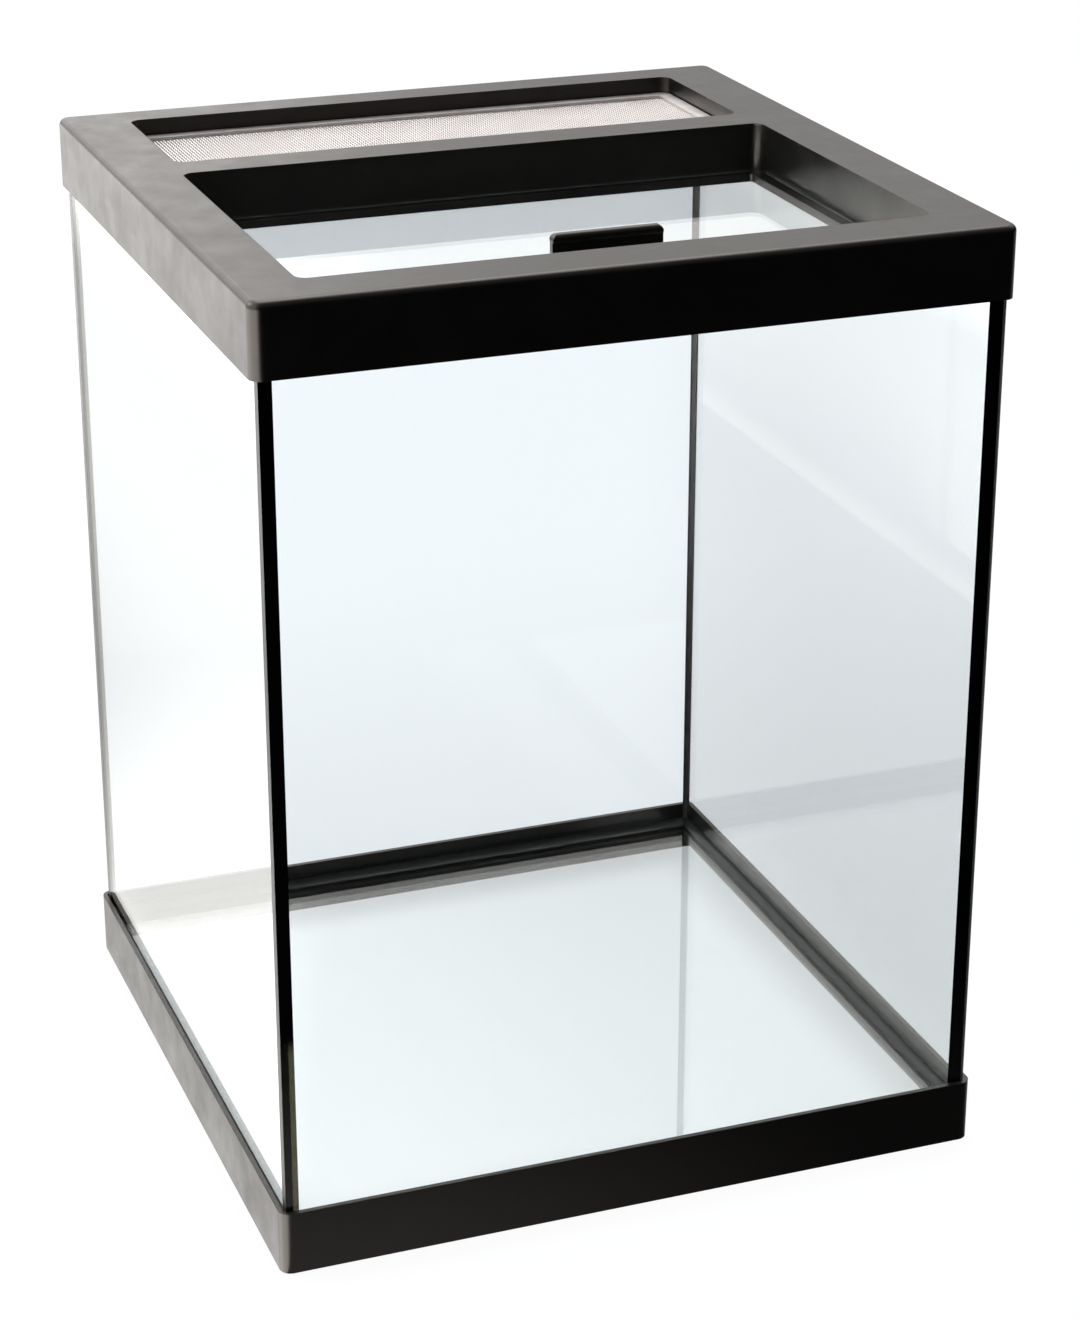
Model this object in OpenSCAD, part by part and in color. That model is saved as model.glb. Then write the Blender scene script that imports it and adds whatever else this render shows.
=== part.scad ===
// Glass terrarium with moulded plastic frames, a recessed glass lid and a mesh vent.
// Millimetres. +Z is up, +X runs to the right along the front, +Y runs to the back.
// The origin is the middle of the footprint, on the surface that the tank stands on.

/* [Body] */
// Outside width of both frames, along X
body_w = 312; // [290:1:360]
// Outside depth of both frames, along Y
body_d = 312; // [300:1:360]
// Height from the foot to the rim
body_h = 410; // [250:1:500]

/* [Frames] */
// Height of the top frame's skirt
top_skirt_h = 30; // [28:0.5:40]
// Height of the bottom frame's skirt
bottom_skirt_h = 28; // [26:0.5:40]
// Wall of the skirts
skirt_t = 2.2; // [1.8:0.1:2.4]
// Radius of the frames' upright corners
corner_r = 5; // [4.5:0.5:8]
// Radius of the roll between the rim and the skirt
rim_roll = 3; // [1.5:0.5:4]
// Thickness of the rim's flat top
rim_t = 2.2; // [1.8:0.1:3]
// Width of the side rails beside the lid, seen from above
side_rail_w = 25.5; // [22:0.5:32]
// Width of the side rails beside the vent
vent_rail_w = 28; // [26:0.5:34]
// Width of the front rail
front_rail_w = 25; // [22:0.5:32]
// Width of the back rail
back_rail_w = 19; // [17:0.5:25]
// Distance from the front of the tank to the crossbar
crossbar_from_front = 193; // [170:1:200]
// Width of the crossbar
crossbar_w = 19; // [12:0.5:24]
// Wall of the two wells and of the bottom frame's inner lip
well_t = 2; // [1.6:0.1:2.4]
// Radius of the wells' upright corners
well_r = 5; // [4:0.5:7]
// Rough spacing of the stiffening ribs
rib_pitch = 44; // [30:1:70]

/* [Glass] */
// Thickness of the five panes and of the lid
glass_t = 4; // [3:0.5:5]
// How far the frames stand proud of the panes
frame_proud = 3; // [2.8:0.1:3.4]
// Height of the floor pane's top surface
floor_z = 19; // [17:0.5:21]

/* [Sealant] */
// Thickness of the sealant between two panes
bond_t = 0.6; // [0.4:0.1:1]
// Width of the bead in the upright corners
corner_bead = 2.2; // [1.5:0.1:4]
// Width of the bead round the floor
floor_bead = 3; // [2:0.1:5]
// Thickness of the sealant that the panes stand in
bed_t = 0.8; // [0.5:0.1:1.2]

/* [Lid] */
// Depth of the lid's top surface below the rim
lid_sink = 20; // [14:0.5:20]
// Gap between the lid and its well, in front and at the sides
lid_gap = 1; // [0.8:0.1:2]
// Gap between the lid and the crossbar, which lets the lid tip up past the rounded corners
lid_back_gap = 3; // [2.5:0.1:4]
// Width of the ledge that the lid rests on
lid_ledge_w = 6; // [4:0.5:9]
// Width of the finger grip
grip_w = 46; // [30:1:80]
// Height of the grip above the lid
grip_h = 22; // [14:0.5:24]
// Distance from the lid's front edge to the middle of the blade
grip_inset = 19; // [14:0.5:40]

/* [Vent] */
// Depth of the vent's top surface below the rim
vent_sink = 7; // [5:0.5:10]
// Width of the vent's edge channel
vent_edge_w = 6; // [5:0.5:8]
// Thickness of the edge channel
vent_edge_t = 3; // [2.4:0.1:4]
// Spacing of the mesh openings
mesh_pitch = 6.4; // [5:0.1:9]
// Width of the metal between two openings
mesh_wire = 1.4; // [0.8:0.1:2]

/* [Hidden] */
$fn = 64;
cut = 1;                                  // how far a cutting shape runs past a face

// Glass box
glass_w = body_w - 2 * frame_proud;
glass_d = body_d - 2 * frame_proud;
floor_pane_z = floor_z - glass_t;         // underside of the floor pane and of the walls
glass_top_z = body_h - rim_t - 1.3;
glass_h = glass_top_z - floor_pane_z;
room_w = glass_w - 2 * glass_t;
room_d = glass_d - 2 * glass_t;

// Inside of both skirts
skirt_inner_w = body_w - 2 * skirt_t;
skirt_inner_d = body_d - 2 * skirt_t;
skirt_inner_r = 2.5;

// Bottom frame
web_z = floor_pane_z - bed_t;             // top of the web that carries the glass
web_t = 2.5;
web_reach = 10;                           // from the outside of the skirt to the web's inner edge
lip_drop = 3;                             // how far the inner lip hangs below the web

// Wells in the top frame
rim_z = body_h;
well_clear = 2.5;                         // from the skirt's foot up to the wells' walls
well_bottom_z = rim_z - top_skirt_h + well_clear;
ledge_r = 2;                              // corner of the opening inside a ledge
crossbar_y = -body_d / 2 + crossbar_from_front;
lid_well_w = body_w - 2 * side_rail_w;
lid_well_y = -body_d / 2 + front_rail_w;
lid_well_d = crossbar_y - lid_well_y;
vent_well_w = body_w - 2 * vent_rail_w;
vent_well_y = crossbar_y + crossbar_w;
vent_well_d = body_d / 2 - back_rail_w - vent_well_y;

// Lid
lid_top_z = rim_z - lid_sink;
lid_seat_z = lid_top_z - glass_t;
lid_w = lid_well_w - 2 * lid_gap;
lid_d = lid_well_d - lid_gap - lid_back_gap;
lid_y = lid_well_y + lid_gap;
tape_t = 0.8;
grip_y = lid_y + grip_inset;
grip_foot_t = 2.6;
grip_foot_front = 4.5;                    // foot in front of the middle of the blade
grip_foot_back = 13.5;                    // foot behind it
grip_blade_t = 3;
grip_bead_r = 2.2;
grip_corner_r = 3;

// Vent
vent_top_z = rim_z - vent_sink;
vent_seat_z = vent_top_z - vent_edge_t;
vent_ledge_w = 5;
vent_ledge_t = 2.5;
vent_gap = 0.8;
vent_w = vent_well_w - 2 * vent_gap;
vent_d = vent_well_d - 2 * vent_gap;
mesh_t = 0.8;
mesh_z = vent_seat_z + (vent_edge_t - mesh_t) / 2;
mesh_tuck = 3;                            // how far the mesh goes into its channel
mesh_w = vent_w - 2 * (vent_edge_w - mesh_tuck);
mesh_d = vent_d - 2 * (vent_edge_w - mesh_tuck);

// Ribs
rib_t = 1.4;
locator_t = 1.2;                          // rib that keeps the panes against the skirt
locator_gap = 0.6;
locator_h = 10;
locator_corner = 18;                      // each locating rib stops this short of the corner
rib_h = 13;

plastic = "#1c1c1e";
silicone = "#141414";
clear_glass = [0.80, 0.92, 0.90, 0.35];
bright_metal = "#cfcbc7";
foam = "#3a3a3a";

// ---- Shapes that several parts use ----

// Rectangle with true round corners, centred on the origin
module rounded_rect(w, d, r) {
    square([w - 2 * r, d], center = true);
    square([w, d - 2 * r], center = true);
    for (sx = [-1, 1], sy = [-1, 1])
        translate([sx * (w / 2 - r), sy * (d / 2 - r)])
            circle(r);
}

// Slab from z = 0 to h whose upper outer edge is rolled over
module rolled_slab(w, d, h, r, roll) {
    linear_extrude(h - roll)
        rounded_rect(w, d, r);
    linear_extrude(h)
        rounded_rect(w - 2 * roll, d - 2 * roll, r - roll);
    for (s = [-1, 1]) {
        translate([0, s * (d / 2 - roll), h - roll])
            rotate([0, 90, 0])
                cylinder(r = roll, h = w - 2 * r, center = true);
        translate([s * (w / 2 - roll), 0, h - roll])
            rotate([90, 0, 0])
                cylinder(r = roll, h = d - 2 * r, center = true);
    }
    for (sx = [-1, 1], sy = [-1, 1])
        translate([sx * (w / 2 - r), sy * (d / 2 - r), h - roll])
            rotate_extrude()
                rolled_corner_profile(r, roll);
}

// Quarter of the rolled corner, turned about the corner's axis
module rolled_corner_profile(r, roll) {
    square([r - roll, roll]);
    intersection() {
        translate([r - roll, 0])
            circle(roll);
        translate([r - roll, 0])
            square(roll);
    }
}

// Copies a side's shape, drawn along the front, onto all four sides of a w by d rectangle.
// The child is given for a side of length w, then of length d.
module each_side(w, d) {
    for (turn = [0, 180]) {
        rotate(turn)
            translate([0, -d / 2, 0])
                children(0);
        rotate(turn + 90)
            translate([0, -w / 2, 0])
                children(1);
    }
}

// Number of ribs that fits a run of a given length
function rib_count(run) = max(2, round(run / rib_pitch));

// Upright ribs across a channel: the channel's near face is y = 0 and its far face is y = reach
module rib_row(run, reach, h) {
    n = rib_count(run);
    for (i = [0 : n - 1])
        translate([-run / 2 + (i + 0.5) * run / n - rib_t / 2, 0, 0])
            cube([rib_t, reach, h]);
}

// Section of a tooled sealant bead in a corner: two straight legs and a hollow face
module bead_section(leg) {
    centre = 1.6 * leg;
    hollow_r = sqrt(pow(centre - leg, 2) + pow(centre, 2));
    difference() {
        polygon([[0, 0], [leg, 0], [0, leg]]);
        translate([centre, centre])
            circle(hollow_r);
    }
}

// ---- Top frame ----

// One well's wall, from its lower edge up into the rim
module well_wall(y, w, d) {
    translate([0, y + d / 2, well_bottom_z])
        linear_extrude(rim_z - rim_t / 2 - well_bottom_z)
            rounded_rect(w + 2 * well_t, d + 2 * well_t, well_r + well_t);
}

// What is cut out of a well above its ledge, through the ledge, and below it
module well_cut(y, w, d, seat_z, ledge_w, ledge_t) {
    translate([0, y + d / 2, 0]) {
        translate([0, 0, seat_z])
            linear_extrude(rim_z - seat_z + cut)
                rounded_rect(w, d, well_r);
        translate([0, 0, well_bottom_z - cut])
            linear_extrude(rim_z - well_bottom_z)
                rounded_rect(w - 2 * ledge_w, d - 2 * ledge_w, ledge_r);
        translate([0, 0, well_bottom_z - cut])
            linear_extrude(max(0, seat_z - ledge_t - well_bottom_z) + cut)
                rounded_rect(w, d, well_r);
    }
}

// Ribs and locating ribs under the rim
module top_ribs() {
    rib_z = rim_z - rim_t - rib_h;
    locator_y = frame_proud + glass_t + locator_gap;
    side_reach = side_rail_w - well_t - locator_y;
    front_reach = front_rail_w - well_t - locator_y;
    back_reach = back_rail_w - well_t - locator_y;

    each_side(body_w, body_d) {
        translate([-room_w / 2 + locator_corner, locator_y, rim_z - rim_t - locator_h])
            cube([room_w - 2 * locator_corner, locator_t, locator_h + rim_t / 2]);
        translate([-room_d / 2 + locator_corner, locator_y, rim_z - rim_t - locator_h])
            cube([room_d - 2 * locator_corner, locator_t, locator_h + rim_t / 2]);
    }
    for (side = [90, -90])
        rotate(side)
            translate([0, -body_w / 2 + locator_y, rib_z])
                rib_row(room_d - 2 * locator_corner, side_reach, rib_h + rim_t / 2);
    translate([0, -body_d / 2 + locator_y, rib_z])
        rib_row(lid_well_w, front_reach, rib_h + rim_t / 2);
    rotate(180)
        translate([0, -body_d / 2 + locator_y, rib_z])
            rib_row(vent_well_w, back_reach, rib_h + rim_t / 2);
    translate([0, crossbar_y + well_t / 2, rib_z])
        rib_row(vent_well_w, crossbar_w - well_t, rib_h + rim_t / 2);
}

// Rim, skirt, crossbar, lid well and vent well in one moulding
module top_frame() {
    color(plastic)
        difference() {
            union() {
                difference() {
                    translate([0, 0, rim_z - top_skirt_h])
                        rolled_slab(body_w, body_d, top_skirt_h, corner_r, rim_roll);
                    translate([0, 0, rim_z - top_skirt_h - cut])
                        linear_extrude(top_skirt_h - rim_t + cut)
                            rounded_rect(skirt_inner_w, skirt_inner_d, skirt_inner_r);
                }
                well_wall(lid_well_y, lid_well_w, lid_well_d);
                well_wall(vent_well_y, vent_well_w, vent_well_d);
                top_ribs();
            }
            well_cut(lid_well_y, lid_well_w, lid_well_d, lid_seat_z, lid_ledge_w,
                     lid_seat_z - well_bottom_z);
            well_cut(vent_well_y, vent_well_w, vent_well_d, vent_seat_z, vent_ledge_w, vent_ledge_t);
        }
}

// ---- Bottom frame ----

// Skirt, the web that carries the glass, and the inner lip that hangs from the web
module bottom_frame() {
    opening_w = body_w - 2 * web_reach;
    opening_d = body_d - 2 * web_reach;
    color(plastic)
        difference() {
            union() {
                difference() {
                    linear_extrude(bottom_skirt_h)
                        rounded_rect(body_w, body_d, corner_r);
                    translate([0, 0, -cut])
                        linear_extrude(bottom_skirt_h + 2 * cut)
                            rounded_rect(skirt_inner_w, skirt_inner_d, skirt_inner_r);
                }
                translate([0, 0, web_z - web_t])
                    linear_extrude(web_t)
                        rounded_rect(body_w - skirt_t, body_d - skirt_t, skirt_inner_r);
                translate([0, 0, web_z - web_t - lip_drop])
                    linear_extrude(lip_drop + web_t / 2)
                        difference() {
                            square([opening_w + 2 * well_t, opening_d + 2 * well_t], center = true);
                            square([opening_w, opening_d], center = true);
                        }
            }
            translate([0, 0, -cut])
                linear_extrude(bottom_skirt_h)
                    square([opening_w, opening_d], center = true);
        }
}

// ---- Glass ----

// Front or back pane: side is -1 for the front and 1 for the back
module wide_pane(side) {
    color(clear_glass)
        translate([-glass_w / 2, side * (glass_d / 2 - glass_t / 2) - glass_t / 2, floor_pane_z])
            cube([glass_w, glass_t, glass_h]);
}

// Side pane between the front and the back pane: side is -1 for left and 1 for right
module side_pane(side) {
    depth = room_d - 2 * bond_t;
    color(clear_glass)
        translate([side * (glass_w / 2 - glass_t / 2) - glass_t / 2, -depth / 2, floor_pane_z])
            cube([glass_t, depth, glass_h]);
}

module front_pane() {
    wide_pane(-1);
}

module back_pane() {
    wide_pane(1);
}

module left_pane() {
    side_pane(-1);
}

module right_pane() {
    side_pane(1);
}

module floor_pane() {
    w = room_w - 2 * bond_t;
    d = room_d - 2 * bond_t;
    color(clear_glass)
        translate([-w / 2, -d / 2, floor_pane_z])
            cube([w, d, glass_t]);
}

// ---- Sealant ----

// Bond between the end of a side pane and the face of the front or back pane, with the
// tooled bead inside the corner. The bead stands on the bead round the floor.
module corner_seal(sx, sy) {
    bead_z = floor_z + floor_bead;
    color(silicone)
        mirror([sx > 0 ? 1 : 0, 0, 0])
            mirror([0, sy > 0 ? 1 : 0, 0])
                translate([-room_w / 2, -room_d / 2, 0]) {
                    translate([-glass_t, 0, floor_pane_z])
                        cube([glass_t, bond_t, glass_h]);
                    translate([0, 0, bead_z])
                        linear_extrude(glass_top_z - bead_z)
                            bead_section(corner_bead);
                }
}

// One side of the bead round the floor, mitred at 45 degrees
module floor_bead_run(run) {
    intersection() {
        translate([-run / 2, 0, 0])
            rotate([90, 0, 90])
                linear_extrude(run)
                    bead_section(floor_bead);
        linear_extrude(floor_bead)
            polygon([[-run / 2, 0], [run / 2, 0],
                     [run / 2 - floor_bead, floor_bead], [-run / 2 + floor_bead, floor_bead]]);
    }
}

// Bond between the floor pane's edge and the four walls, with the bead on top of it
module floor_seal() {
    color(silicone) {
        translate([0, 0, floor_pane_z])
            linear_extrude(glass_t)
                difference() {
                    square([room_w, room_d], center = true);
                    square([room_w - 2 * bond_t, room_d - 2 * bond_t], center = true);
                }
        translate([0, 0, floor_z])
            each_side(room_w, room_d) {
                floor_bead_run(room_w);
                floor_bead_run(room_d);
            }
    }
}

// Ring of sealant between a frame and the outside of the glass box
module bedding_ring(h, inner_w, inner_d) {
    linear_extrude(h)
        difference() {
            rounded_rect(skirt_inner_w, skirt_inner_d, skirt_inner_r);
            square([inner_w, inner_d], center = true);
        }
}

// Glass box as one block, which the bedding is moulded round
module glass_block() {
    translate([-glass_w / 2, -glass_d / 2, floor_pane_z])
        cube([glass_w, glass_d, glass_h]);
}

module top_bedding() {
    leg = 9;
    color(silicone)
        difference() {
            translate([0, 0, glass_top_z - leg])
                bedding_ring(rim_z - rim_t - glass_top_z + leg, room_w, room_d);
            glass_block();
        }
}

module bottom_bedding() {
    leg = 7;
    setback = 0.5;                        // from the web's inner edge
    floor_overlap = web_reach - frame_proud - glass_t - setback;
    color(silicone)
        difference() {
            union() {
                translate([0, 0, web_z])
                    bedding_ring(bed_t + leg, room_w, room_d);
                translate([0, 0, web_z])
                    bedding_ring(bed_t, room_w - 2 * floor_overlap, room_d - 2 * floor_overlap);
            }
            glass_block();
        }
}

// ---- Vent ----

// Edge channel: a flat ring with a slot inside it for the mesh
module vent_channel() {
    vent_y = vent_well_y + vent_well_d / 2;
    color(bright_metal)
        translate([0, vent_y, 0])
            difference() {
                translate([0, 0, vent_seat_z])
                    linear_extrude(vent_edge_t)
                        difference() {
                            rounded_rect(vent_w, vent_d, well_r - vent_gap);
                            square([vent_w - 2 * vent_edge_w, vent_d - 2 * vent_edge_w], center = true);
                        }
                translate([0, 0, mesh_z])
                    linear_extrude(mesh_t)
                        square([mesh_w, mesh_d], center = true);
            }
}

// Mesh: a sheet with rows of square openings between two plain margins
module vent_mesh() {
    vent_y = vent_well_y + vent_well_d / 2;
    hole = mesh_pitch - mesh_wire;
    columns = floor((vent_w - 2 * vent_edge_w) / mesh_pitch);
    rows = floor((vent_d - 2 * vent_edge_w) / mesh_pitch);
    color(bright_metal)
        translate([0, vent_y, mesh_z])
            linear_extrude(mesh_t)
                difference() {
                    square([mesh_w, mesh_d], center = true);
                    for (i = [0 : columns - 1], j = [0 : rows - 1])
                        translate([(i - (columns - 1) / 2) * mesh_pitch, (j - (rows - 1) / 2) * mesh_pitch])
                            square(hole, center = true);
                }
}

// ---- Lid ----

module lid_glass() {
    color(clear_glass)
        translate([0, lid_y + lid_d / 2, lid_seat_z])
            linear_extrude(glass_t)
                rounded_rect(lid_w, lid_d, well_r - lid_gap);
}

// Foam tape under the grip
module grip_tape() {
    margin = 1.5;
    color(foam)
        translate([-grip_w / 2 + margin, grip_y - grip_foot_front + margin, lid_top_z])
            cube([grip_w - 2 * margin, grip_foot_front + grip_foot_back - 2 * margin, tape_t]);
}

// Section of the grip through its foot and blade, with y to the back and z up
module grip_section() {
    fillet = 2;
    blade_top = grip_h - tape_t - grip_bead_r;
    translate([-grip_foot_front, 0])
        square([grip_foot_front + grip_foot_back, grip_foot_t]);
    translate([-grip_blade_t / 2, 0])
        square([grip_blade_t, blade_top]);
    translate([0, blade_top])
        circle(grip_bead_r);
    difference() {
        translate([-grip_blade_t / 2 - fillet, grip_foot_t - 0.5])
            square([grip_blade_t + 2 * fillet, fillet + 0.5]);
        for (s = [-1, 1])
            translate([s * (grip_blade_t / 2 + fillet), grip_foot_t + fillet])
                circle(fillet);
    }
}

// Finger grip: a foot stuck to the lid, an upright blade with a beaded top, and three webs
module lid_grip() {
    web_w = 2;
    web_rise = 9;
    foot_z = lid_top_z + tape_t;
    color(plastic)
        translate([0, grip_y, foot_z])
            intersection() {
                union() {
                    translate([-grip_w / 2, 0, 0])
                        rotate([90, 0, 90])
                            linear_extrude(grip_w)
                                grip_section();
                    for (x = [-0.36, 0, 0.36])
                        translate([x * grip_w - web_w / 2, 0, 0])
                            rotate([90, 0, 90])
                                linear_extrude(web_w)
                                    polygon([[0, grip_foot_t / 2], [grip_foot_back - 2, grip_foot_t / 2],
                                             [grip_foot_back - 2, grip_foot_t],
                                             [grip_blade_t / 2, grip_foot_t + web_rise],
                                             [0, grip_foot_t + web_rise]]);
                }
                linear_extrude(grip_h)
                    translate([0, (grip_foot_back - grip_foot_front) / 2])
                        rounded_rect(grip_w, grip_foot_front + grip_foot_back, grip_corner_r);
                rotate([90, 0, 0])
                    linear_extrude(4 * grip_foot_back, center = true)
                        translate([0, (grip_h - tape_t) / 2 - grip_corner_r / 2])
                            rounded_rect(grip_w, grip_h - tape_t + grip_corner_r, grip_corner_r);
            }
}

// ---- Assembly ----

top_frame();
bottom_frame();
front_pane();
back_pane();
left_pane();
right_pane();
floor_pane();
corner_seal(-1, -1);  // corner_seal_front_left
corner_seal(1, -1);  // corner_seal_front_right
corner_seal(-1, 1);  // corner_seal_back_left
corner_seal(1, 1);  // corner_seal_back_right
floor_seal();
top_bedding();
bottom_bedding();
vent_channel();
vent_mesh();
lid_glass();
grip_tape();
lid_grip();
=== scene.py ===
"""Glass terrarium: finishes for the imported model, the woven vent mesh, the studio and the camera.

Every length is in metres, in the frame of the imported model: +Z is up, +X runs to the right
along the front, +Y runs to the back, and the origin is the middle of the footprint.
"""

import logging
import math
from dataclasses import dataclass
from enum import Enum
from typing import Any

import bmesh
import bpy
from mathutils import Matrix, Vector


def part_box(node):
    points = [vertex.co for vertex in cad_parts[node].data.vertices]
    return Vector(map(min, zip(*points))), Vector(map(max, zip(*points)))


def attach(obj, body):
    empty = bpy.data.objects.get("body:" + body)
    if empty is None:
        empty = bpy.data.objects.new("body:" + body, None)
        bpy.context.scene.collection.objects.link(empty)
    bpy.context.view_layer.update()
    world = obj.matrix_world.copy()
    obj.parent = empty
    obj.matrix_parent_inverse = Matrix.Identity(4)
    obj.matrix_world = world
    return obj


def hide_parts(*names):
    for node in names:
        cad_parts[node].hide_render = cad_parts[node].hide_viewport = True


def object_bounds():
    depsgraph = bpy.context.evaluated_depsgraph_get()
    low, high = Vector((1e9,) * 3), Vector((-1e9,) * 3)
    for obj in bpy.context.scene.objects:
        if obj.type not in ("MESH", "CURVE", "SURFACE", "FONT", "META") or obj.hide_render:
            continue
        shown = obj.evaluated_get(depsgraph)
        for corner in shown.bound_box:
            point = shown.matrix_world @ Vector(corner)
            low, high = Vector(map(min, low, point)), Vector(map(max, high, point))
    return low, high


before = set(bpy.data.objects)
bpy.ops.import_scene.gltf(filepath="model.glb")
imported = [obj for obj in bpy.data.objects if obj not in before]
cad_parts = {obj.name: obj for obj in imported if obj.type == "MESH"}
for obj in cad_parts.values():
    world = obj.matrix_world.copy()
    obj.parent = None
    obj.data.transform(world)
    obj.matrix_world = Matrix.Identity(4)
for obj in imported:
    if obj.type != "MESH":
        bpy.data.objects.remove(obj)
CAD_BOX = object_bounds()

LOG = logging.getLogger("terrarium")
MM = 0.001

Tree = bpy.types.NodeTree
Node = bpy.types.Node
Socket = bpy.types.NodeSocket
Feed = Node | Socket | float

MATH = "ShaderNodeMath"
MIX = "ShaderNodeMix"
NOISE = "ShaderNodeTexNoise"
BUMP = "ShaderNodeBump"
MAP_RANGE = "ShaderNodeMapRange"
EASED = {"interpolation_type": "SMOOTHSTEP"}


# ---- Helpers ----


def linear(colour: str) -> tuple[float, float, float, float]:
    """Turns an sRGB hex colour into the linear colour that shaders use.

    Args:
        colour: Six hex digits after a hash sign.

    Returns:
        Red, green, blue and an alpha of 1.
    """
    parts = [int(colour[i : i + 2], 16) / 255 for i in (1, 3, 5)]
    red, green, blue = (p / 12.92 if p <= 0.04045 else ((p + 0.055) / 1.055) ** 2.4 for p in parts)
    return red, green, blue, 1.0


def add_node(
    tree: Tree, kind: str, inputs: dict[Any, Any] | None = None, **settings: Any
) -> Node:
    """Adds a node with its settings, and fills or links its inputs.

    Args:
        tree: The node tree that gets the node.
        kind: The node's type name.
        inputs: Input names or numbers, each with a value, with the output socket to link, or
            with a node whose first output in use is linked.
        **settings: Properties of the node.

    Returns:
        The new node.
    """
    node = tree.nodes.new(kind)
    for name, value in settings.items():
        setattr(node, name, value)
    for name, value in (inputs or {}).items():
        if isinstance(value, Node):
            value = next(socket for socket in value.outputs if socket.enabled)
        if isinstance(value, Socket):
            tree.links.new(value, node.inputs[name])
        else:
            node.inputs[name].default_value = value
    return node


@dataclass(frozen=True)
class Fade:
    """A result that goes from its first to its last value while another passes a span.

    Before and beyond the span it holds.
    """

    start: float
    stop: float
    first: float = 0.0
    last: float = 1.0

    def inputs(self, value: Feed) -> dict[str, Any]:
        """Gives the inputs of the node that maps a value so.

        Args:
            value: What the result follows.

        Returns:
            The inputs by name.
        """
        return {
            "Value": value,
            "From Min": self.start,
            "From Max": self.stop,
            "To Min": self.first,
            "To Max": self.last,
        }


def own_normal(tree: Tree) -> Node:
    """Gives the flat normal in the piece's own frame, so that it turns with the piece.

    Args:
        tree: The node tree that gets the nodes.

    Returns:
        The node that gives the normal.
    """
    facing = add_node(tree, "ShaderNodeNewGeometry").outputs["True Normal"]
    return add_node(
        tree,
        "ShaderNodeVectorTransform",
        {0: facing},
        vector_type="NORMAL",
        convert_from="WORLD",
        convert_to="OBJECT",
    )


def finished_object(
    name: str, shape: bmesh.types.BMesh, material: bpy.types.Material, body: str
) -> bpy.types.Object:
    """Makes a finished piece from a bmesh, with its place in its mesh, and lets it ride on a body.

    Args:
        name: The piece's name.
        shape: The bmesh, which this frees.
        material: The piece's material.
        body: The CAD body that the piece moves with.

    Returns:
        The piece's object, at the origin.
    """
    mesh = bpy.data.meshes.new(name)
    bmesh.ops.recalc_face_normals(shape, faces=shape.faces)
    shape.to_mesh(mesh)
    shape.free()
    mesh.materials.append(material)
    piece = bpy.data.objects.new(name, mesh)
    bpy.context.scene.collection.objects.link(piece)
    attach(piece, body)
    return piece


# ---- Finishes ----


class Axis(Enum):
    """The axis that a pane's two wide faces look along."""

    X = 0
    Y = 1
    Z = 2


class Finish:
    """A material made of nodes, named for the real material."""

    name: str

    def shade(self, tree: Tree) -> None:
        """Fills the material's node tree.

        Args:
            tree: The empty tree.
        """
        raise NotImplementedError

    def material(self) -> bpy.types.Material:
        """Makes the material.

        Returns:
            The material with its nodes.
        """
        made = bpy.data.materials.new(self.name)
        made.use_nodes = True
        made.node_tree.nodes.clear()
        self.shade(made.node_tree)
        return made


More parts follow.
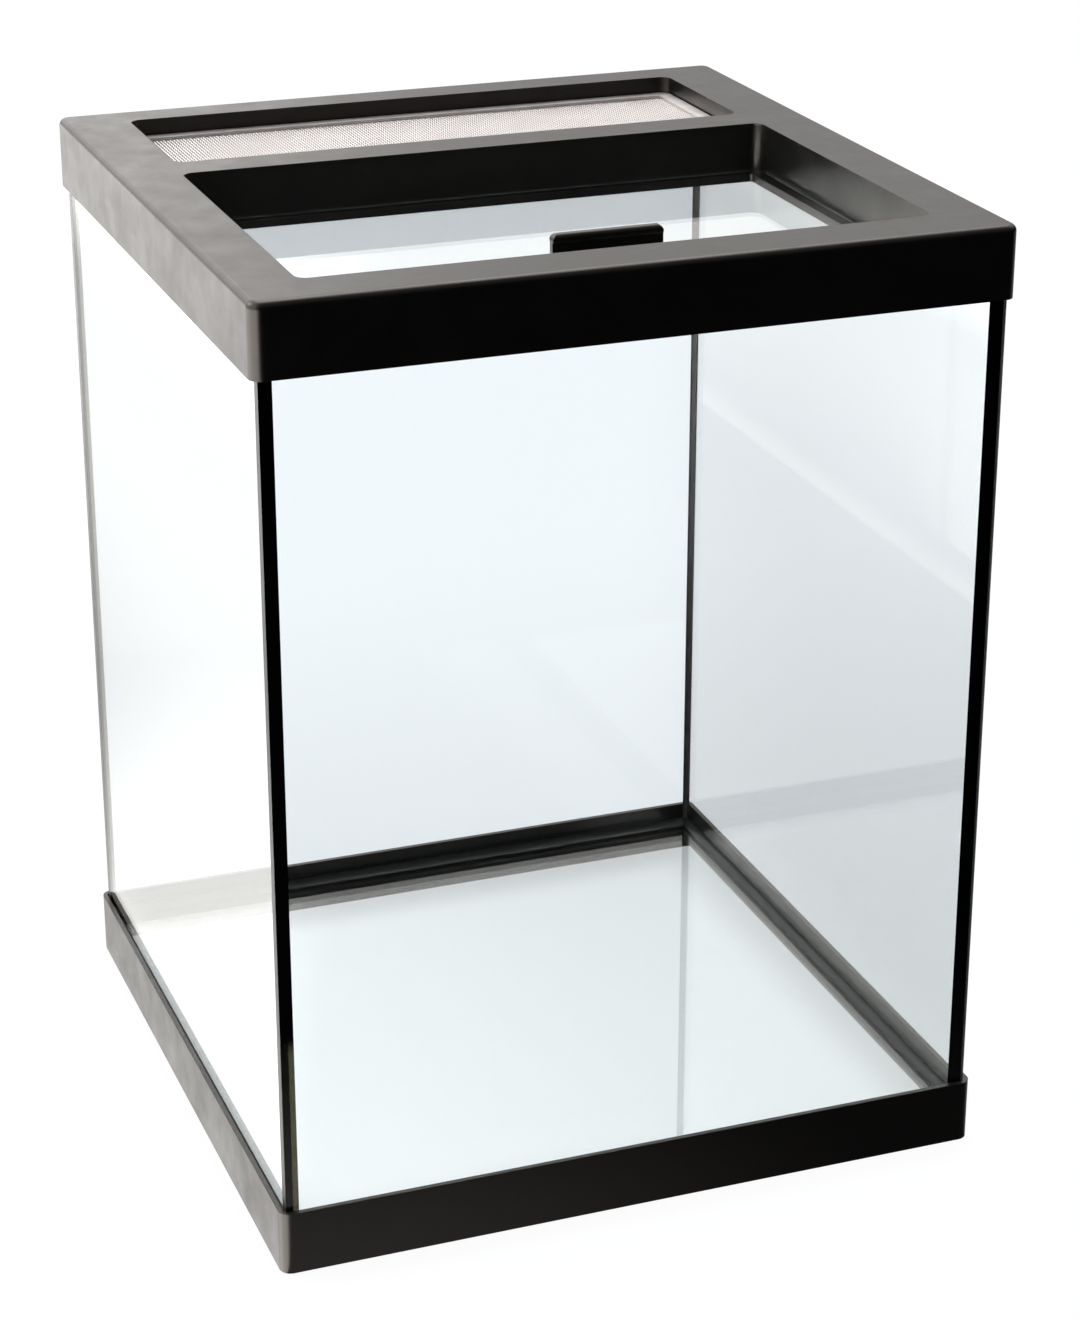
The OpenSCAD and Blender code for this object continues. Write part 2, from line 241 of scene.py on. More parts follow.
@dataclass(frozen=True)
class MouldedPlastic(Finish):
    """High-impact polystyrene, injection moulded and black right through.

    The mould was polished, so the skin mirrors its surroundings where it is seen at a low
    angle. It has scuffs, a slight waviness from shrinking, a fine grain and small round edges.
    """

    name: str = "moulded_black_polystyrene"
    colour: str = "#060607"
    sheen_of_skin: str = "#fff5ee"
    ior: float = 1.5
    scuff: float = 18 * MM
    roughness: Fade = Fade(0.3, 0.75, 0.28, 0.4)  # by the scuffs
    dust: str = "#6a655f"
    patches: Fade = Fade(0.42, 0.72, 0.0, 0.05)  # by the scuffs: how thick the dust is
    level: Fade = Fade(0.85, 1.0)  # by how far up a face looks: whether dust lies on it
    edge: float = 0.45 * MM
    relief: float = 0.12
    wave: float = 14 * MM
    wave_depth: float = 0.06 * MM
    grain: float = 0.6 * MM  # the real grain is about 0.2 mm, too fine to show
    grain_depth: float = 0.03 * MM

    def shade(self, tree: Tree) -> None:
        """Fills the tree: scuffs, dust that lies on upward faces, edges, waviness and grain.

        Args:
            tree: The empty tree.
        """
        place = add_node(tree, "ShaderNodeTexCoord").outputs["Object"]
        up = add_node(tree, "ShaderNodeSeparateXYZ", {0: own_normal(tree)}).outputs["Z"]
        waves = add_node(tree, NOISE, {"Vector": place, "Scale": 1 / self.wave, "Detail": 2.0})
        grains = add_node(tree, NOISE, {"Vector": place, "Scale": 1 / self.grain, "Detail": 1.0})
        scuffs = add_node(
            tree,
            NOISE,
            {"Vector": place, "Scale": 1 / self.scuff, "Detail": 4.0, "Roughness": 0.62},
        )
        level = add_node(tree, MAP_RANGE, self.level.inputs(up))
        patches = add_node(tree, MAP_RANGE, self.patches.inputs(scuffs))
        dusty = add_node(tree, MATH, {0: level, 1: patches}, operation="MULTIPLY")
        colour = add_node(
            tree,
            MIX,
            {"Factor": dusty, "A": linear(self.colour), "B": linear(self.dust)},
            data_type="RGBA",
        )
        edges = add_node(tree, "ShaderNodeBevel", {"Radius": self.edge}, samples=4)
        wavy = add_node(
            tree,
            BUMP,
            {
                "Strength": self.relief,
                "Distance": self.wave_depth,
                "Height": waves,
                "Normal": edges,
            },
        )
        grainy = add_node(
            tree,
            BUMP,
            {
                "Strength": self.relief,
                "Distance": self.grain_depth,
                "Height": grains,
                "Normal": wavy,
            },
        )
        shader = add_node(
            tree,
            "ShaderNodeBsdfPrincipled",
            {
                "Base Color": colour,
                "Roughness": add_node(tree, MAP_RANGE, self.roughness.inputs(scuffs)),
                "IOR": self.ior,
                "Specular Tint": linear(self.sheen_of_skin),
                "Normal": grainy,
            },
        )
        add_node(tree, "ShaderNodeOutputMaterial", {"Surface": shader})


@dataclass(frozen=True)
class FloatGlass(Finish):
    """Clear soda-lime float glass with seamed edges.

    The wide faces are fire-polished and mirror sharply. The edges are ground dull. Iron in
    the glass takes a little red, which shows as green-blue in a long path through a pane.
    """

    faces: Axis
    name: str = "clear_float_glass"
    ior: float = 1.52
    passes: str = "#d5f6f1"
    density: float = 14.0  # per metre: 4 mm passes 98% of red, and 300 mm passes a third
    passes_lamps: str = "#f0f7f5"
    smear: float = 60 * MM
    smears: Fade = Fade(0.55, 0.8, 0.0, 0.008)
    ground: float = 0.38
    least_wide: float = 0.7  # a face whose normal lies less along the axis is an edge

    def shade(self, tree: Tree) -> None:
        """Fills the tree: clear faces with faint wiping marks, ground edges, green depth.

        Args:
            tree: The empty tree.
        """
        place = add_node(tree, "ShaderNodeTexCoord").outputs["Object"]
        sides = add_node(tree, "ShaderNodeSeparateXYZ", {0: own_normal(tree)})
        along = sides.outputs[self.faces.value]
        level = add_node(tree, MATH, {0: along}, operation="ABSOLUTE")
        edge = add_node(tree, MATH, {0: level, 1: self.least_wide}, operation="LESS_THAN")
        wiped = add_node(
            tree,
            NOISE,
            {"Vector": place, "Scale": 1 / self.smear, "Detail": 3.0, "Distortion": 1.5},
        )
        smears = add_node(tree, MAP_RANGE, self.smears.inputs(wiped))
        glass = add_node(
            tree,
            "ShaderNodeBsdfPrincipled",
            {
                "Base Color": linear("#ffffff"),
                "Roughness": add_node(tree, MIX, {"Factor": edge, "A": smears, "B": self.ground}),
                "IOR": self.ior,
                "Transmission Weight": 1.0,
            },
        )
        # Lamps shine through a pane as through air, apart from what the pane mirrors away.
        clear = add_node(tree, "ShaderNodeBsdfTransparent", {0: linear(self.passes_lamps)})
        lamp = add_node(tree, "ShaderNodeLightPath").outputs["Is Shadow Ray"]
        shader = add_node(tree, "ShaderNodeMixShader", {0: lamp, 1: glass, 2: clear})
        depth = add_node(
            tree, "ShaderNodeVolumeAbsorption", {0: linear(self.passes), 1: self.density}
        )
        add_node(tree, "ShaderNodeOutputMaterial", {"Surface": shader, "Volume": depth})


@dataclass(frozen=True)
class Silicone(Finish):
    """Black acetoxy silicone, gunned in and smoothed with a wet tool.

    It cures to a rubbery skin that shines softly, with long shallow ripples from the tool.
    Below a given height the bead is mixed with a see-through shader. A bead wiped thin passes a
    little light, and this also paints in light that reaches the bead through the glass, so it looks
    olive grey.
    """

    name: str = "cured_black_silicone"
    colour: str = "#0a0a0b"
    ior: float = 1.41
    ripple: float = 9 * MM
    ripple_depth: float = 0.08 * MM
    relief: float = 0.2
    roughness: Fade = Fade(0.3, 0.7, 0.29, 0.42)  # by the ripples
    thin_painted_light_below: float = 0.0  # the height under which the bead is thin and see-through, which paints light on it; 0 where none of it is
    thin_painted_light_fade: float = 8 * MM
    thin_painted_light_share: float = 0.36
    thin_painted_light_tint: str = "#ffe6d4"

    def shade(self, tree: Tree) -> None:
        """Fills the tree: tool ripples along the bead, a soft shine, and its thin foot, which is
        see-through as painted light.

        Args:
            tree: The empty tree.
        """
        place = add_node(tree, "ShaderNodeTexCoord").outputs["Object"]
        ripples = add_node(tree, NOISE, {"Vector": place, "Scale": 1 / self.ripple, "Detail": 2.0})
        relief = {"Strength": self.relief, "Distance": self.ripple_depth, "Height": ripples}
        skin = add_node(
            tree,
            "ShaderNodeBsdfPrincipled",
            {
                "Base Color": linear(self.colour),
                "Roughness": add_node(tree, MAP_RANGE, self.roughness.inputs(ripples)),
                "IOR": self.ior,
                "Normal": add_node(tree, BUMP, relief),
            },
        )
        # The thin foot lets the white room through. It is part a thin bead and part painted light.
        clear = add_node(tree, "ShaderNodeBsdfTransparent", {0: linear(self.thin_painted_light_tint)})
        height = add_node(tree, "ShaderNodeSeparateXYZ", {0: place}).outputs["Z"]
        thin_painted_light_span = Fade(self.thin_painted_light_below - self.thin_painted_light_fade, self.thin_painted_light_below, self.thin_painted_light_share, 0.0)
        thin_painted_light = add_node(tree, MAP_RANGE, thin_painted_light_span.inputs(height))
        shader = add_node(tree, "ShaderNodeMixShader", {0: thin_painted_light, 1: skin, 2: clear})
        add_node(tree, "ShaderNodeOutputMaterial", {"Surface": shader})


@dataclass(frozen=True)
class MillAluminium(Finish):
    """Aluminium as it leaves the mill: the drawn wire of the mesh and the rolled channel.

    It has a soft grey shine, fine draw lines along its length, and a thin dull oxide.
    """

    name: str = "mill_finish_aluminium"
    colour: str = "#d8d5d3"
    oxide: str = "#ccc6c6"
    patch: float = 1 / 60  # about 17 mm
    line: float = 0.5 * MM  # real draw lines are under 0.1 mm, too fine to show
    line_depth: float = 0.03 * MM
    relief: float = 0.2
    stretch: tuple[float, float, float] = (0.03, 1.0, 1.0)  # the lines are long in X
    roughness: Fade = Fade(0.3, 0.7, 0.34, 0.52)  # by the lines

    def shade(self, tree: Tree) -> None:
        """Fills the tree: draw lines along X, patches of oxide.

        Args:
            tree: The empty tree.
        """
        place = add_node(tree, "ShaderNodeTexCoord").outputs["Object"]
        drawn = add_node(tree, "ShaderNodeMapping", {"Vector": place, "Scale": self.stretch})
        lines = add_node(tree, NOISE, {"Vector": drawn, "Scale": 1 / self.line, "Detail": 1.0})
        patches = add_node(tree, NOISE, {"Vector": place, "Scale": 1 / self.patch, "Detail": 3.0})
        colour = add_node(
            tree,
            MIX,
            {"Factor": patches, "A": linear(self.colour), "B": linear(self.oxide)},
            data_type="RGBA",
        )
        relief = {"Strength": self.relief, "Distance": self.line_depth, "Height": lines}
        shader = add_node(
            tree,
            "ShaderNodeBsdfPrincipled",
            {
                "Base Color": colour,
                "Metallic": 1.0,
                "Roughness": add_node(tree, MAP_RANGE, self.roughness.inputs(lines)),
                "Normal": add_node(tree, BUMP, relief),
            },
        )
        add_node(tree, "ShaderNodeOutputMaterial", {"Surface": shader})


@dataclass(frozen=True)
class FoamTape(Finish):
    """Closed-cell polyethylene foam tape, die cut.

    Its cut edge shows the cells as small pits in a dull grey-black, with painted shade in them.
    """

    name: str = "closed_cell_foam_tape"
    colour: str = "#1b1b1b"
    pit_painted_shade: str = "#060606"
    roughness: float = 0.9
    cell: float = 0.5 * MM  # real cells are about 0.2 mm, too fine to show
    cell_depth: float = 0.15 * MM
    relief: float = 0.6

    def shade(self, tree: Tree) -> None:
        """Fills the tree: cells as pits in depth, with painted shade in their colour.

        Args:
            tree: The empty tree.
        """
        place = add_node(tree, "ShaderNodeTexCoord").outputs["Object"]
        cells = add_node(
            tree,
            "ShaderNodeTexVoronoi",
            {"Vector": place, "Scale": 1 / self.cell, "Randomness": 0.9},
        ).outputs["Distance"]
        # The pits' darker colour is painted shade in the cells' hollows.
        colour = add_node(
            tree,
            MIX,
            {"Factor": cells, "A": linear(self.pit_painted_shade), "B": linear(self.colour)},
            data_type="RGBA",
        )
        relief = {"Strength": self.relief, "Distance": self.cell_depth, "Height": cells}
        shader = add_node(
            tree,
            "ShaderNodeBsdfPrincipled",
            {
                "Base Color": colour,
                "Roughness": self.roughness,
                "Normal": add_node(tree, BUMP, relief),
            },
        )
        add_node(tree, "ShaderNodeOutputMaterial", {"Surface": shader})


# ---- Sub-assemblies ----


@dataclass
class DressedNodes:
    """CAD nodes that keep their shape and get one finish."""

    label: str
    nodes: tuple[str, ...]
    finish: Finish

    def dress(self) -> None:
        """Puts the finish in every material slot of the nodes."""
        material = self.finish.material()
        for name in self.nodes:
            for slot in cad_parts[name].material_slots:
                slot.material = material
        LOG.info("%s (%s): %s", self.label, ", ".join(self.nodes), material.name)


@dataclass
class WovenVent:
    """Plain-woven wire cloth that fills the vent's channel.

    The wires are drawn as straight runs from crossing to crossing, with four sides each,
    because there are over two hundred of them. The real pitch is about 1 mm.
    """

    pitch: float = 1.5 * MM
    wire: float = 0.4 * MM
    node: str = "vent_mesh"

    def wire_run(
        self, shape: bmesh.types.BMesh, crossings: int, phase: int
    ) -> list[bmesh.types.BMVert]:
        """Draws one wire along +X from the origin, which rises and dips at its crossings.

        Args:
            shape: The bmesh that gets the wire.
            crossings: How many wires it crosses.
            phase: 1 where the first crossing is passed above, -1 below.

        Returns:
            The wire's vertices.
        """
        turned = Matrix.Rotation(math.pi / 2, 4, "Y") @ Matrix.Rotation(math.pi / 4, 4, "Z")
        ring = bmesh.ops.create_circle(
            shape, cap_ends=True, segments=4, radius=self.wire / math.sqrt(2), matrix=turned
        )["verts"]
        rise = self.wire / 2
        bmesh.ops.translate(shape, verts=ring, vec=(0, 0, phase * rise))
        face = ring[0].link_faces[0]
        made = list(ring)
        for i in range(1, crossings):
            face = bmesh.ops.extrude_discrete_faces(shape, faces=[face])["faces"][0]
            step = (self.pitch, 0, -2 * rise * phase * (-1) ** (i - 1))
            bmesh.ops.translate(shape, verts=face.verts, vec=step)
            made.extend(face.verts)
        return made

    def wire_set(self, count: int, crossings: int, turn: bool) -> bmesh.types.BMesh:
        """Draws all the wires that run one way, centred on the origin.

        Args:
            count: How many wires.
            crossings: How many wires each of them crosses.
            turn: True where they run along Y.

        Returns:
            A bmesh with the wires.
        """
        shape = bmesh.new()
        for phase in (1, -1):
            seed = bmesh.new()
            self.wire_run(seed, crossings, phase)
            held = bpy.data.meshes.new("wire")
            seed.to_mesh(held)
            seed.free()
            for i in range(0 if phase > 0 else 1, count, 2):
                before = len(shape.verts)
                shape.from_mesh(held)
                shape.verts.ensure_lookup_table()
                aside = (i - (count - 1) / 2) * self.pitch
                bmesh.ops.translate(shape, verts=shape.verts[before:], vec=(0, aside, 0))
            bpy.data.meshes.remove(held)
        back = -(crossings - 1) / 2 * self.pitch
        bmesh.ops.translate(shape, verts=shape.verts, vec=(back, 0, 0))
        if turn:
            # The two ways pass each other on opposite sides at every crossing.
            flip = Matrix.Rotation(math.pi / 2, 4, "Z") @ Matrix.Scale(-1, 4, (0, 0, 1))
            bmesh.ops.transform(shape, matrix=flip, verts=shape.verts)
        return shape

    def build(self, finish: Finish) -> None:
        """Weaves the cloth over the CAD sheet's place, and replaces the sheet with it.

        Args:
            finish: The wire's finish.
        """
        low, high = (Vector(corner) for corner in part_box(self.node))
        size = high - low
        along = int(size.x / self.pitch) + 1
        across = int(size.y / self.pitch) + 1
        cloth = self.wire_set(across, along, turn=False)
        crossing = self.wire_set(along, across, turn=True)
        held = bpy.data.meshes.new("warp")
        crossing.to_mesh(held)
        crossing.free()
        cloth.from_mesh(held)
        bpy.data.meshes.remove(held)
        bmesh.ops.translate(cloth, verts=cloth.verts, vec=(low + high) / 2)
        piece = finished_object("vent_wire_cloth", cloth, finish.material(), "tank")
        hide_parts(self.node)
        LOG.info("vent: %d by %d wires", along, across)


# ---- Studio ----


@dataclass(frozen=True)
class Surroundings:
    """What the room and its floor share: strength and tint go by how the light path came.

    Strengths are what a mirror sees, and 1 is white. What the eye sees is white all round, apart
    from painted light and shade on the floor under the tank and through its panes.
    """

    seen_white: float = 1.04
    mirrored_tint: str = "#fffdfa"

    def is_mirrored(self, tree: Tree) -> Node:
        """Gives 1 where the light path was mirrored on its way, otherwise 0."""
        bounces = add_node(tree, "ShaderNodeLightPath").outputs["Glossy Depth"]
        return add_node(tree, MATH, {0: bounces, 1: 0.5}, operation="GREATER_THAN")

    def by_ray(self, tree: Tree, plain: Feed, diffused: Feed, mirrored: Feed) -> Node:
        """Picks a strength by how the light path came here.

        Args:
            tree: The tree that gets the nodes.
            plain: Strength to the eye, direct or through glass.
            diffused: Strength as light on dull surfaces.
            mirrored: Strength where the path was mirrored on its way.

        Returns:
            The node that gives the strength.
        """
        ray = add_node(tree, "ShaderNodeLightPath").outputs
        seen = add_node(
            tree,
            MATH,
            {0: ray["Is Camera Ray"], 1: ray["Is Transmission Ray"]},
            operation="MAXIMUM",
        )
        straight = add_node(tree, MIX, {"Factor": seen, "A": diffused, "B": plain})
        return add_node(
            tree, MIX, {"Factor": self.is_mirrored(tree), "A": straight, "B": mirrored}
        )

    def tint(self, tree: Tree, through: str) -> Node:
        """Picks the tint: white to the eye, warm in a mirror, and its own through glass.

        Args:
            tree: The tree that gets the nodes.
            through: The sRGB tint through glass.

        Returns:
            The node that gives the colour.
        """
        direct = add_node(tree, "ShaderNodeLightPath").outputs["Is Camera Ray"]
        straight = add_node(
            tree,
            MIX,
            {"Factor": direct, "A": linear(through), "B": linear("#ffffff")},
            data_type="RGBA",
        )
        return add_node(
            tree,
            MIX,
            {"Factor": self.is_mirrored(tree), "A": straight, "B": linear(self.mirrored_tint)},
            data_type="RGBA",
        )


@dataclass(frozen=True)
class Room(Surroundings):
    """A white room, in mirrors bright behind and to the left, and dark on the camera's side."""

    ambient: float = 0.5
    mirrored_front: float = 0.01
    lean: float = -0.277  # added to X for each Y, which puts the left wall's far edge at about 0
    side: Fade = Fade(-0.03, 0.045, 2.3, 0.95)  # by that sum: the left wall, then the back wall
    behind: Fade = Fade(-0.45, 0.1, 0.0, 1.0)  # by Y less X: the two walls end
    low: Fade = Fade(0.05, 0.2, 0.45, 1.0)  # by Z: both are darker at their foot
    overhead: Fade = Fade(-0.3, 0.2, 0.2, 1.6)  # by Y: the ceiling
    high: Fade = Fade(0.3, 0.5, 0.0, 1.0)  # by Z: the ceiling starts

    def build(self) -> None:
        """Makes the world, whose strength in mirrors goes by direction."""
        world = bpy.data.worlds.new("white_room")
        bpy.context.scene.world = world
        world.use_nodes = True
        tree = world.node_tree
        tree.nodes.clear()
        way = add_node(tree, "ShaderNodeTexCoord").outputs["Generated"]
        parts = add_node(tree, "ShaderNodeSeparateXYZ", {0: way})
        x, y, z = (parts.outputs[i] for i in range(3))
        past = add_node(tree, MATH, {0: y, 1: self.lean, 2: x}, operation="MULTIPLY_ADD")
        side = add_node(tree, MAP_RANGE, self.side.inputs(past), **EASED)
        inward = add_node(tree, MATH, {0: y, 1: x}, operation="SUBTRACT")
        behind = add_node(tree, MAP_RANGE, self.behind.inputs(inward), **EASED)
        low = add_node(tree, MAP_RANGE, self.low.inputs(z), **EASED)
        walls = add_node(tree, MATH, {0: side, 1: behind}, operation="MULTIPLY")
        walls = add_node(tree, MATH, {0: walls, 1: low}, operation="MULTIPLY")
        overhead = add_node(tree, MAP_RANGE, self.overhead.inputs(y), **EASED)
        high = add_node(tree, MAP_RANGE, self.high.inputs(z), **EASED)
        ceiling = add_node(tree, MATH, {0: overhead, 1: high}, operation="MULTIPLY")
        lit = add_node(tree, MATH, {0: walls, 1: ceiling}, operation="MAXIMUM")
        mirrored = add_node(tree, MATH, {0: lit, 1: self.mirrored_front}, operation="MAXIMUM")
        light = add_node(
            tree,
            "ShaderNodeBackground",
            {
                "Color": self.tint(tree, "#ffffff"),
                "Strength": self.by_ray(tree, self.seen_white, self.ambient, mirrored),
            },
        )
        add_node(tree, "ShaderNodeOutputWorld", {"Surface": light})


@dataclass(frozen=True)
class PaperFloor(Surroundings):
    """White paper that gives off painted light: in mirrors bright to the left of the tank and dark
    in front of it, and to the eye with painted shade under the tank.

    Places on it are counted in half widths of the tank from its middle, so its sides are at
    -1 and 1. X runs to the right and Y to the back.
    """

    size: float = 16.0
    drop: float = 0.2 * MM
    foot_wall: float = 2 * MM  # the sides are taken inside the foot's wall, which has round corners
    paper: str = "#f2f2f2"
    glow: float = 0.9  # share of the paper's own painted light; the rest of what the eye sees is lit paper, which shows the tank's shadow
    through_tint: str = "#f6faff"

    # To the eye, painted light and shade: under the tank, and through its panes
    painted_light_under_tank: Fade = Fade(-1.0, 1.0, 1.02, 0.83)  # by X: painted light and shade, brighter to the left
    shade: Fade = Fade(0.8, 0.99, 1.0, 0.75)  # by the way out to the sides: painted shade near the tank's foot
    depth: Fade = Fade(0.3, 4.2, 0.99, 1.2)  # by Y: painted light, brighter towards the back
    aside: float = -0.429  # added to X for each Y, which follows the panes' far corner
    painted_shade_to_right: Fade = Fade(0.2, 1.2, 1.0, 0.88)  # by that sum: painted shade to the right

    # In mirrors: painted reflections of the paper, by place
    far_left: Fade = Fade(-3.3, -2.6, 1.85, 0.0)  # by X
    left: Fade = Fade(-2.2, -0.6, 1.1, 0.5)  # by X
    along: Fade = Fade(0.8, 3.4, 0.9, 0.0)  # by Y, left of the tank
    near: Fade = Fade(-1.18, -1.0, 0.0, 0.35)  # by X, left of the tank
    front: Fade = Fade(-2.2, -1.0, 0.01, 0.5)  # by Y
    front_fades: Fade = Fade(-1.05, 0.8, 1.0, 0.1)  # by X
    # By the bearing from the tank's front left corner, in radians
    corner_left: Fade = Fade(1.97, 2.7, 0.0, 5.5)
    corner_front: Fade = Fade(-2.2, -1.85, 5.5, 0.0)
    under: Fade = Fade(0.6, 0.85, 0.03, 0.25)  # by X: painted shade under the tank

    def mirrored(self, tree: Tree, x: Socket, y: Socket, out: Node) -> Node:
        """Works out the floor's painted brightness in a mirror.

        Args:
            tree: The floor's node tree.
            x: Place along the front.
            y: Place from front to back.
            out: How far out from the middle, as a square.

        Returns:
            The node that gives the strength.
        """
        along = add_node(tree, MAP_RANGE, self.along.inputs(y), **EASED)
        near = add_node(tree, MAP_RANGE, self.near.inputs(x), **EASED)
        strip = add_node(tree, MATH, {0: along, 1: near}, operation="ADD")
        left_of_tank = add_node(tree, MATH, {0: x, 1: -1.0}, operation="LESS_THAN")
        beside = add_node(tree, MATH, {0: strip, 1: left_of_tank}, operation="MULTIPLY")
        far_left = add_node(tree, MAP_RANGE, self.far_left.inputs(x), **EASED)
        left = add_node(tree, MAP_RANGE, self.left.inputs(x), **EASED)
        to_left = add_node(tree, MATH, {0: far_left, 1: left}, operation="ADD")
        to_left = add_node(tree, MATH, {0: to_left, 1: beside}, operation="ADD")
        from_front = add_node(tree, MATH, {0: y, 1: 1.0}, operation="ADD")
        from_left = add_node(tree, MATH, {0: x, 1: 1.0}, operation="ADD")
        bearing = add_node(tree, MATH, {0: from_front, 1: from_left}, operation="ARCTAN2")
        corner_left = add_node(tree, MAP_RANGE, self.corner_left.inputs(bearing), **EASED)
        corner_front = add_node(tree, MAP_RANGE, self.corner_front.inputs(bearing), **EASED)
        corner = add_node(tree, MATH, {0: corner_left, 1: corner_front}, operation="MAXIMUM")
        behind = add_node(tree, MATH, {0: to_left, 1: corner}, operation="MAXIMUM")
        front = add_node(tree, MAP_RANGE, self.front.inputs(y), **EASED)
        fades = add_node(tree, MAP_RANGE, self.front_fades.inputs(x), **EASED)
        ahead = add_node(tree, MATH, {0: front, 1: fades}, operation="MULTIPLY")
        ahead = add_node(tree, MATH, {0: ahead, 1: corner}, operation="MAXIMUM")
        in_front = add_node(tree, MATH, {0: y, 1: -1.0}, operation="LESS_THAN")
        around = add_node(tree, MIX, {"Factor": in_front, "A": behind, "B": ahead})
        # Under the tank the paper is darker in mirrors: painted shade.
        under = add_node(tree, MAP_RANGE, self.under.inputs(x), **EASED)
        below = add_node(tree, MATH, {0: out, 1: 1.0}, operation="LESS_THAN")
        return add_node(tree, MIX, {"Factor": below, "A": around, "B": under})

    def seen(self, tree: Tree, x: Socket, y: Socket, out: Node) -> Node:
        """Works out the floor's painted light and shade to the eye, through the panes and under the
        tank.

        Args:
            tree: The floor's node tree.
            x: Place along the front.
            y: Place from front to back.
            out: How far out from the middle, as a square.

        Returns:
            The node that gives the strength.
        """
        middle = add_node(tree, MAP_RANGE, self.painted_light_under_tank.inputs(x), **EASED)
        shade = add_node(tree, MAP_RANGE, self.shade.inputs(out), **EASED)
        inside = add_node(tree, MATH, {0: middle, 1: shade}, operation="MULTIPLY")
        depth = add_node(tree, MAP_RANGE, self.depth.inputs(y), **EASED)
        past = add_node(tree, MATH, {0: y, 1: self.aside, 2: x}, operation="MULTIPLY_ADD")
        painted_shade_to_right = add_node(tree, MAP_RANGE, self.painted_shade_to_right.inputs(past), **EASED)
        through = add_node(tree, MATH, {0: depth, 1: painted_shade_to_right}, operation="MULTIPLY")
        direct = add_node(tree, "ShaderNodeLightPath").outputs["Is Camera Ray"]
        outside = add_node(tree, MIX, {"Factor": direct, "A": through, "B": self.seen_white})
        beyond = add_node(tree, MATH, {0: out, 1: 1.0}, operation="GREATER_THAN")
        return add_node(tree, MIX, {"Factor": beyond, "A": inside, "B": outside})

    def material(self) -> bpy.types.Material:
        """Makes the paper: mostly painted light, white to the eye, with the tank's faint shadow and
        painted shade under the tank, and darker in mirrors.

        Returns:
            The floor's material.
        """
        made = bpy.data.materials.new("white_paper_floor")
        made.use_nodes = True
        tree = made.node_tree
        tree.nodes.clear()
        half = CAD_BOX[1][0] - self.foot_wall
        own = add_node(tree, "ShaderNodeTexCoord").outputs["Object"]
        place = add_node(
            tree, "ShaderNodeVectorMath", {0: own, "Scale": 1 / half}, operation="SCALE"
        )
        parts = add_node(tree, "ShaderNodeSeparateXYZ", {0: place})
        x, y = parts.outputs[0], parts.outputs[1]
        across = add_node(tree, MATH, {0: x}, operation="ABSOLUTE")
        along = add_node(tree, MATH, {0: y}, operation="ABSOLUTE")
        out = add_node(tree, MATH, {0: across, 1: along}, operation="MAXIMUM")
        strength = self.by_ray(
            tree, self.seen(tree, x, y, out), 0.0, self.mirrored(tree, x, y, out)
        )
        paper = add_node(tree, "ShaderNodeBsdfDiffuse", {0: linear(self.paper)})
        glow = add_node(
            tree, "ShaderNodeEmission", {0: self.tint(tree, self.through_tint), 1: strength}
        )
        # Most of what the eye sees of the paper, and all that mirrors see, is its painted light.
        share = self.by_ray(tree, self.glow, 0.0, 1.0)
        shader = add_node(tree, "ShaderNodeMixShader", {0: share, 1: paper, 2: glow})
        add_node(tree, "ShaderNodeOutputMaterial", {"Surface": shader})
        return made

    def build(self) -> None:
        """Lays the floor just under the tank's foot."""
        shape = bmesh.new()
        bmesh.ops.create_grid(shape, x_segments=1, y_segments=1, size=self.size / 2)
        bmesh.ops.translate(shape, verts=shape.verts, vec=(0, 0, -self.drop))
        mesh = bpy.data.meshes.new("floor")
        shape.to_mesh(mesh)
        shape.free()
        mesh.materials.append(self.material())
        floor = bpy.data.objects.new("floor", mesh)
        bpy.context.scene.collection.objects.link(floor)


@dataclass(frozen=True)
class SoftBox:
    """A soft square lamp that looks at the middle of the tank."""

    name: str
    place: tuple[float, float, float]
    side: float
    power: float
    aim: tuple[float, float, float] = (0.0, 0.0, 0.2)

    def build(self) -> None:
        """Hangs the lamp."""
        data = bpy.data.lights.new(self.name, "AREA")
        data.shape = "SQUARE"
        data.size = self.side
        data.energy = self.power
        lamp = bpy.data.objects.new(self.name, data)
        lamp.location = self.place
        way = Vector(self.aim) - Vector(self.place)
        lamp.rotation_euler = way.to_track_quat("-Z", "Y").to_euler()
        bpy.context.scene.collection.objects.link(lamp)


@dataclass
class Studio:
    """The room, its floor and its lamps."""

    room: Room
    floor: PaperFloor
    lamps: tuple[SoftBox, ...]

    def build(self) -> None:
        """Builds the studio."""
        self.room.build()
        self.floor.build()
        for lamp in self.lamps:
            lamp.build()
        LOG.info("studio: room, floor and %d soft boxes", len(self.lamps))


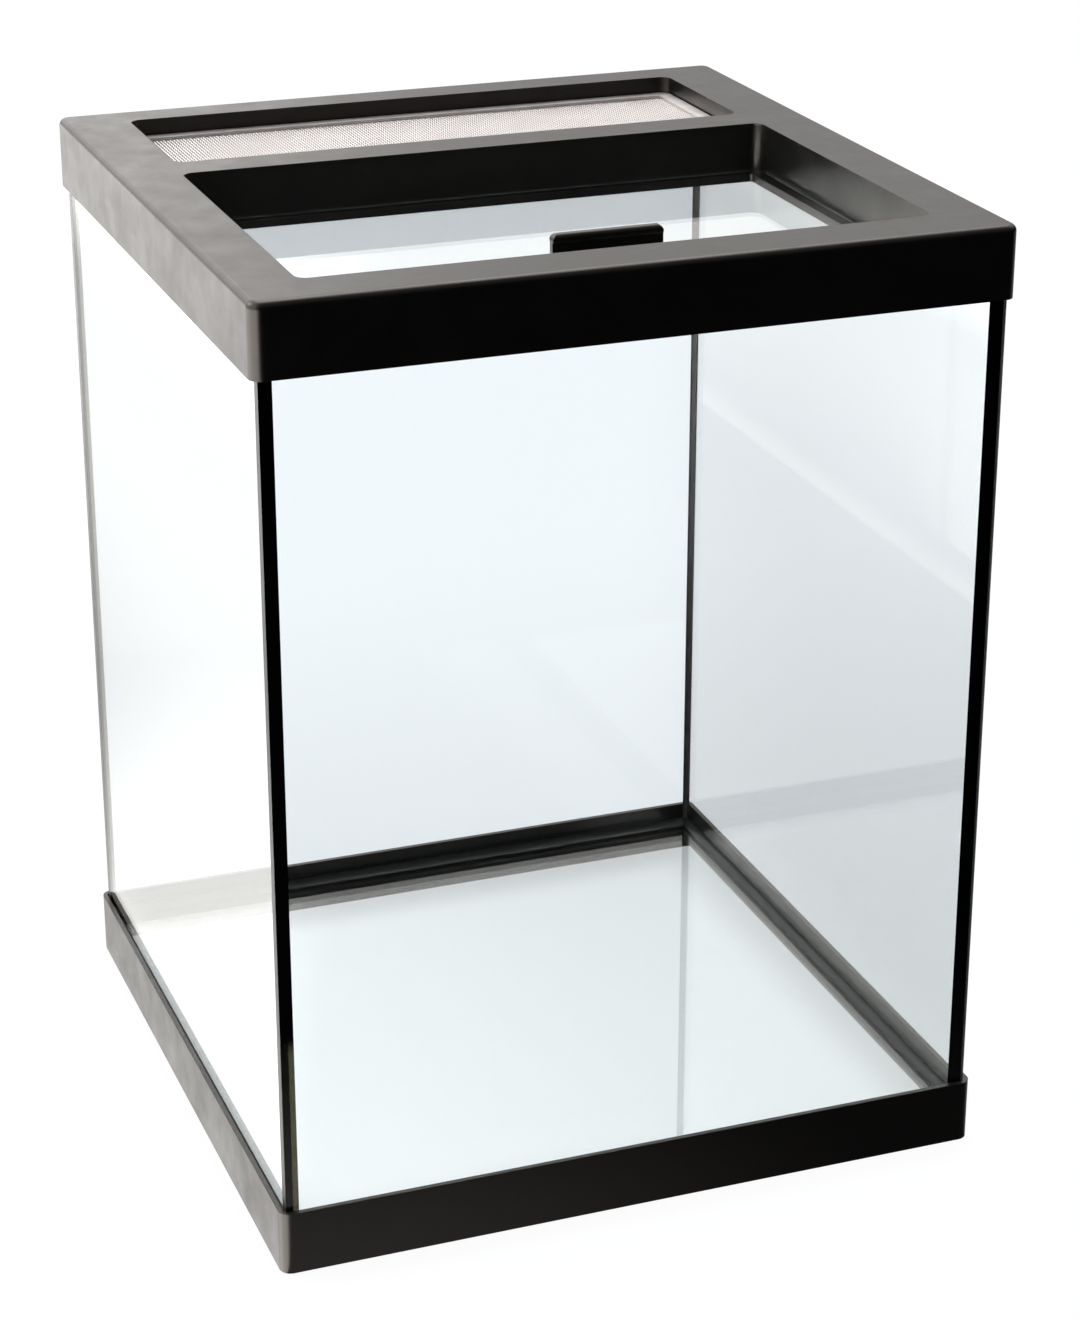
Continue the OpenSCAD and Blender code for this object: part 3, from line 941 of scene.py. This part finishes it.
@dataclass
class View:
    """The camera, where the photograph was taken from."""

    place: tuple[float, float, float] = (-0.4529, -1.2540, 0.7415)
    yaw: float = 20.41
    pitch: float = -22.54
    lens: float = 89.11
    sensor: float = 36.0

    def build(self) -> None:
        """Sets the camera up and makes it the scene's own."""
        data = bpy.data.cameras.new("camera")
        data.sensor_width = self.sensor
        data.lens = self.lens
        camera = bpy.data.objects.new("camera", data)
        camera.location = self.place
        camera.rotation_euler = (math.radians(90 + self.pitch), 0, math.radians(-self.yaw))
        bpy.context.scene.collection.objects.link(camera)
        bpy.context.scene.camera = camera
        bpy.context.scene.view_settings.view_transform = "Standard"


DRESSED = (
    DressedNodes("frames and grip", ("top_frame", "bottom_frame", "lid_grip"), MouldedPlastic()),
    DressedNodes("front and back panes", ("front_pane", "back_pane"), FloatGlass(Axis.Y)),
    DressedNodes("side panes", ("left_pane", "right_pane"), FloatGlass(Axis.X)),
    DressedNodes("floor pane and lid", ("floor_pane", "lid_glass"), FloatGlass(Axis.Z)),
    DressedNodes(
        "front left seal",
        ("corner_seal_front_left",),
        # Below 106 mm the bead is thin and see-through, which paints light on its foot.
        Silicone(name="thinly_wiped_black_silicone_painted_light", thin_painted_light_below=0.106),
    ),
    DressedNodes(
        "sealant",
        (
            "corner_seal_front_right",
            "corner_seal_back_left",
            "corner_seal_back_right",
            "floor_seal",
            "top_bedding",
            "bottom_bedding",
        ),
        Silicone(),
    ),
    DressedNodes("vent channel", ("vent_channel",), MillAluminium()),
    DressedNodes("grip tape", ("grip_tape",), FoamTape()),
)

LAMPS = (
    SoftBox("soft_box_left", (-2.4, 1.2, 2.2), 1.6, 46.0),
    SoftBox("soft_box_above", (0.6, 0.9, 2.8), 1.8, 36.0),
)


def main() -> None:
    """Builds the camera, the finishes, the vent and the studio, and notes the sizes."""
    logging.basicConfig(level=logging.INFO, format="%(message)s")
    View().build()
    for nodes in DRESSED:
        nodes.dress()
    WovenVent().build(MillAluminium(name="drawn_aluminium_wire"))
    Studio(Room(), PaperFloor(), LAMPS).build()


if __name__ == "__main__":
    main()
